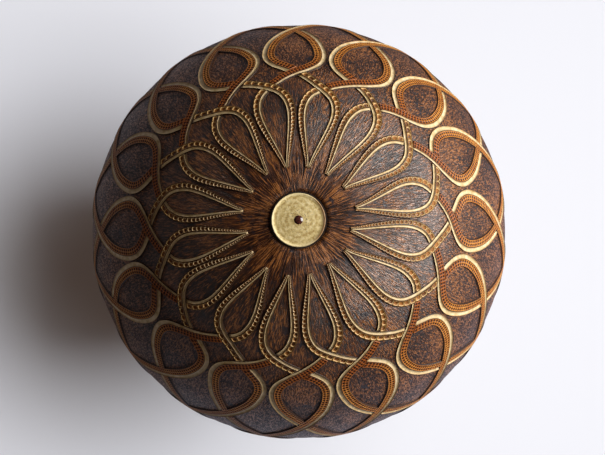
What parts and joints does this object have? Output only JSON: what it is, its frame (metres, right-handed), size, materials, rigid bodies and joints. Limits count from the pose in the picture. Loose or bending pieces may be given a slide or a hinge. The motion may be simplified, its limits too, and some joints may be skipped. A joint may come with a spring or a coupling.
{
  "type": "maraca",
  "caption": "Gourd maraca: a near-round carved and stained gourd head on a wooden stick handle that runs through it, with loose round seeds inside that rattle when it is shaken.",
  "frame": {"origin": "centre of the free end face of the grip, on the stick's axis", "axes": "+Z along the stick's axis from the free end of the grip up to the pale disc on top of the head; +X along the cross pin in the neck"},
  "size_m": [0.104, 0.104, 0.2567],
  "materials": {
    "carved_gourd": "dark brown stained gourd skin with carved pale and amber interlaced bands, satin",
    "pale_wood": "pale yellow turned wood, oiled",
    "dark_wood": "dark red-brown hardwood, polished",
    "dark_resin": "near-black resin, satin",
    "waxed_cord": "amber brown waxed cord",
    "bamboo": "pale bamboo",
    "seed": "near-black hard seed, slight polish"
  },
  "bodies": {
    "maraca": {"gourd_shell": "carved_gourd", "handle": "pale_wood", "end_peg": "dark_wood", "top_seal": "dark_resin", "neck_collar": "dark_wood", "neck_binding": "waxed_cord", "cross_pin": "bamboo"},
    "seed_01": {"seed_01": "seed"},
    "seed_02": {"seed_02": "seed"},
    "seed_03": {"seed_03": "seed"},
    "seed_04": {"seed_04": "seed"},
    "seed_05": {"seed_05": "seed"},
    "seed_06": {"seed_06": "seed"},
    "seed_07": {"seed_07": "seed"},
    "seed_08": {"seed_08": "seed"},
    "seed_09": {"seed_09": "seed"},
    "seed_10": {"seed_10": "seed"},
    "seed_11": {"seed_11": "seed"},
    "seed_12": {"seed_12": "seed"},
    "seed_13": {"seed_13": "seed"},
    "seed_14": {"seed_14": "seed"},
    "seed_15": {"seed_15": "seed"},
    "seed_16": {"seed_16": "seed"},
    "seed_17": {"seed_17": "seed"},
    "seed_18": {"seed_18": "seed"},
    "seed_19": {"seed_19": "seed"},
    "seed_20": {"seed_20": "seed"},
    "seed_21": {"seed_21": "seed"},
    "seed_22": {"seed_22": "seed"},
    "seed_23": {"seed_23": "seed"},
    "seed_24": {"seed_24": "seed"}
  },
  "joints": [
    {"name": "swirl", "type": "hinge", "parent": "maraca", "child": "seed_01", "pos_m": [0, 0, 0.154], "axis": [0, 0, 1], "continuous": true},
    {"name": "toss_02", "type": "slide", "parent": "seed_01", "child": "seed_02", "axis": [0, 0, 1], "range_m": [0, 0.0938]},
    {"name": "toss_03", "type": "slide", "parent": "seed_01", "child": "seed_03", "axis": [0, 0, 1], "range_m": [0, 0.0932]},
    {"name": "toss_04", "type": "slide", "parent": "seed_01", "child": "seed_04", "axis": [0, 0, 1], "range_m": [0, 0.0935]},
    {"name": "toss_05", "type": "slide", "parent": "seed_01", "child": "seed_05", "axis": [0, 0, 1], "range_m": [0, 0.0936]},
    {"name": "toss_06", "type": "slide", "parent": "seed_01", "child": "seed_06", "axis": [0, 0, 1], "range_m": [0, 0.0931]},
    {"name": "toss_07", "type": "slide", "parent": "seed_01", "child": "seed_07", "axis": [0, 0, 1], "range_m": [0, 0.0937]},
    {"name": "toss_08", "type": "slide", "parent": "seed_01", "child": "seed_08", "axis": [0, 0, 1], "range_m": [0, 0.0933]},
    {"name": "toss_09", "type": "slide", "parent": "seed_01", "child": "seed_09", "axis": [0, 0, 1], "range_m": [0, 0.0933]},
    {"name": "toss_10", "type": "slide", "parent": "seed_01", "child": "seed_10", "axis": [0, 0, 1], "range_m": [0, 0.0867]},
    {"name": "toss_11", "type": "slide", "parent": "seed_01", "child": "seed_11", "axis": [0, 0, 1], "range_m": [0, 0.086]},
    {"name": "toss_12", "type": "slide", "parent": "seed_01", "child": "seed_12", "axis": [0, 0, 1], "range_m": [0, 0.0865]},
    {"name": "toss_13", "type": "slide", "parent": "seed_01", "child": "seed_13", "axis": [0, 0, 1], "range_m": [0, 0.0864]},
    {"name": "toss_14", "type": "slide", "parent": "seed_01", "child": "seed_14", "axis": [0, 0, 1], "range_m": [0, 0.0861]},
    {"name": "toss_15", "type": "slide", "parent": "seed_01", "child": "seed_15", "axis": [0, 0, 1], "range_m": [0, 0.0867]},
    {"name": "toss_16", "type": "slide", "parent": "seed_01", "child": "seed_16", "axis": [0, 0, 1], "range_m": [0, 0.0861]},
    {"name": "toss_17", "type": "slide", "parent": "seed_01", "child": "seed_17", "axis": [0, 0, 1], "range_m": [0, 0.0864]},
    {"name": "toss_18", "type": "slide", "parent": "seed_01", "child": "seed_18", "axis": [0, 0, 1], "range_m": [0, 0.0866]},
    {"name": "toss_19", "type": "slide", "parent": "seed_01", "child": "seed_19", "axis": [0, 0, 1], "range_m": [0, 0.086]},
    {"name": "toss_20", "type": "slide", "parent": "seed_01", "child": "seed_20", "axis": [0, 0, 1], "range_m": [0, 0.0866]},
    {"name": "toss_21", "type": "slide", "parent": "seed_01", "child": "seed_21", "axis": [0, 0, 1], "range_m": [0, 0.0863]},
    {"name": "toss_22", "type": "slide", "parent": "seed_01", "child": "seed_22", "axis": [0, 0, 1], "range_m": [0, 0.0862]},
    {"name": "toss_23", "type": "slide", "parent": "seed_01", "child": "seed_23", "axis": [0, 0, 1], "range_m": [0, 0.0867]},
    {"name": "toss_24", "type": "slide", "parent": "seed_01", "child": "seed_24", "axis": [0, 0, 1], "range_m": [0, 0.0861]}
  ]
}
